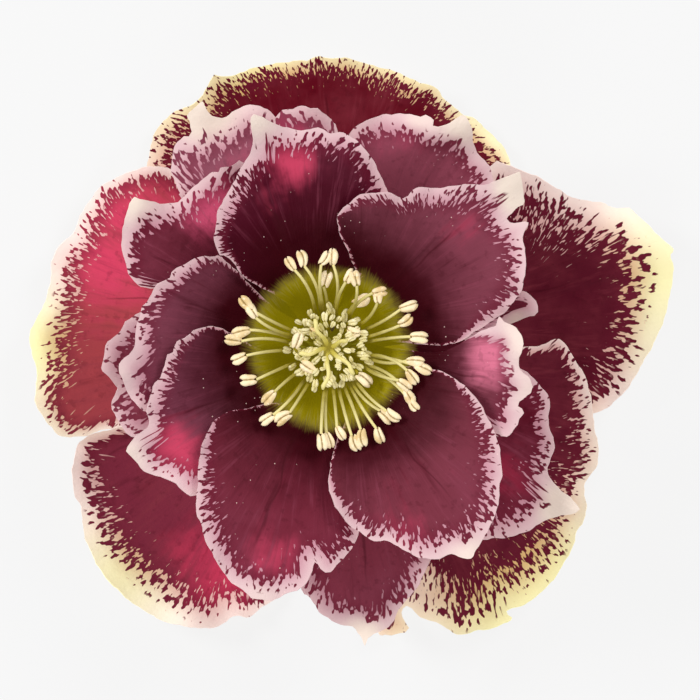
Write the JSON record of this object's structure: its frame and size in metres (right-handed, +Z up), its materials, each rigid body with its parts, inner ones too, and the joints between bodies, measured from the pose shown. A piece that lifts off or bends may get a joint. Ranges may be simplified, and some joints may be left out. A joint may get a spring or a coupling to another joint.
{
  "type": "double hellebore bloom",
  "caption": "Picked double hellebore bloom lying face up: burgundy sepals and layered petals with pale, dark-flecked rims round a throat of cream stamens and green styles.",
  "frame": {"origin": "on the surface, under the middle of the bloom's bounding box", "axes": "+Z up, out of the throat towards the viewer of the picture; +X to the picture's right; +Y to the picture's top"},
  "size_m": [0.0782, 0.071, 0.0275],
  "materials": {
    "sepal": "satin",
    "middle_petal": "satin",
    "inner_petal": "satin",
    "stamen": "matte",
    "young_stamen": "matte",
    "carpel": "satin",
    "receptacle": "satin"
  },
  "bodies": {
    "root": {"sepal_1": "sepal", "sepal_2": "sepal", "sepal_3": "sepal", "sepal_4": "sepal", "sepal_5": "sepal", "middle_petal_1": "middle_petal", "middle_petal_2": "middle_petal", "middle_petal_3": "middle_petal", "middle_petal_4": "middle_petal", "middle_petal_5": "middle_petal", "middle_petal_6": "middle_petal", "middle_petal_7": "middle_petal", "middle_petal_8": "middle_petal", "inner_petal_1": "inner_petal", "inner_petal_2": "inner_petal", "inner_petal_3": "inner_petal", "inner_petal_4": "inner_petal", "inner_petal_5": "inner_petal", "inner_petal_6": "inner_petal", "inner_petal_7": "inner_petal", "outer_stamens": "stamen", "young_stamens": "young_stamen", "carpels": "carpel", "receptacle": "receptacle"}
  },
  "joints": []
}
